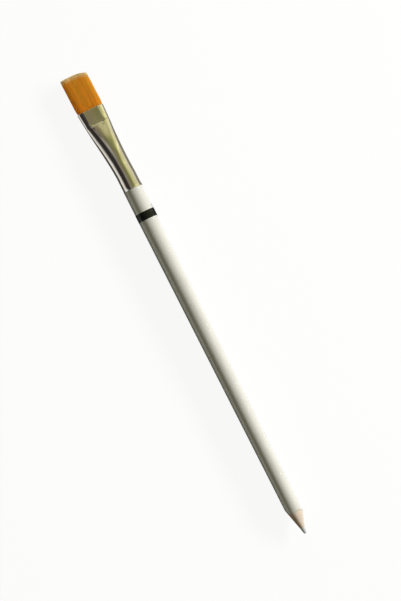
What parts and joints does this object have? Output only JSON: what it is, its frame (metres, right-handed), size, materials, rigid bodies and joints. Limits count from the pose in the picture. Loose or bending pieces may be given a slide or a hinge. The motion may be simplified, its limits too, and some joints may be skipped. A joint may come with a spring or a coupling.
{
  "type": "eraser pencil",
  "caption": "Wood-cased pencil with an eraser core, sharpened at one end, with a flat bristle brush in a crimped metal ferrule at the other.",
  "frame": {"origin": "on the barrel's axis, halfway along the straight seat that runs from the ferrule's lip to the far edge of the black band", "axes": "+X along the barrel towards the eraser tip, +Z square to the brush's wide faces, +Y across the brush"},
  "size_m": [0.1901, 0.0108, 0.0076],
  "materials": {
    "eraser_rubber": "matte grey-white vinyl eraser, a little rubbed at the tip",
    "bare_wood": "bare pale straight-grained wood, cut by a sharpener on the cone",
    "white_lacquer": "smooth glossy white lacquer",
    "black_paint": "glossy black lacquer ring",
    "plated_ferrule": "bright plated thin sheet, mirror-like with a slightly warm tint",
    "wood_glue": "dried glue, hidden",
    "heel_resin": "cured brown resin round the bristle ends, hidden",
    "bristle": "golden-orange filaments with paler yellowish tips"
  },
  "bodies": {
    "root": {"eraser_core": "eraser_rubber", "casing_upper_half": "bare_wood", "casing_lower_half": "bare_wood", "lacquer_coat": "white_lacquer", "black_band": "black_paint", "ferrule": "plated_ferrule", "tenon_glue": "wood_glue", "heel_plug": "heel_resin", "bristle_tuft": "bristle"}
  },
  "joints": []
}
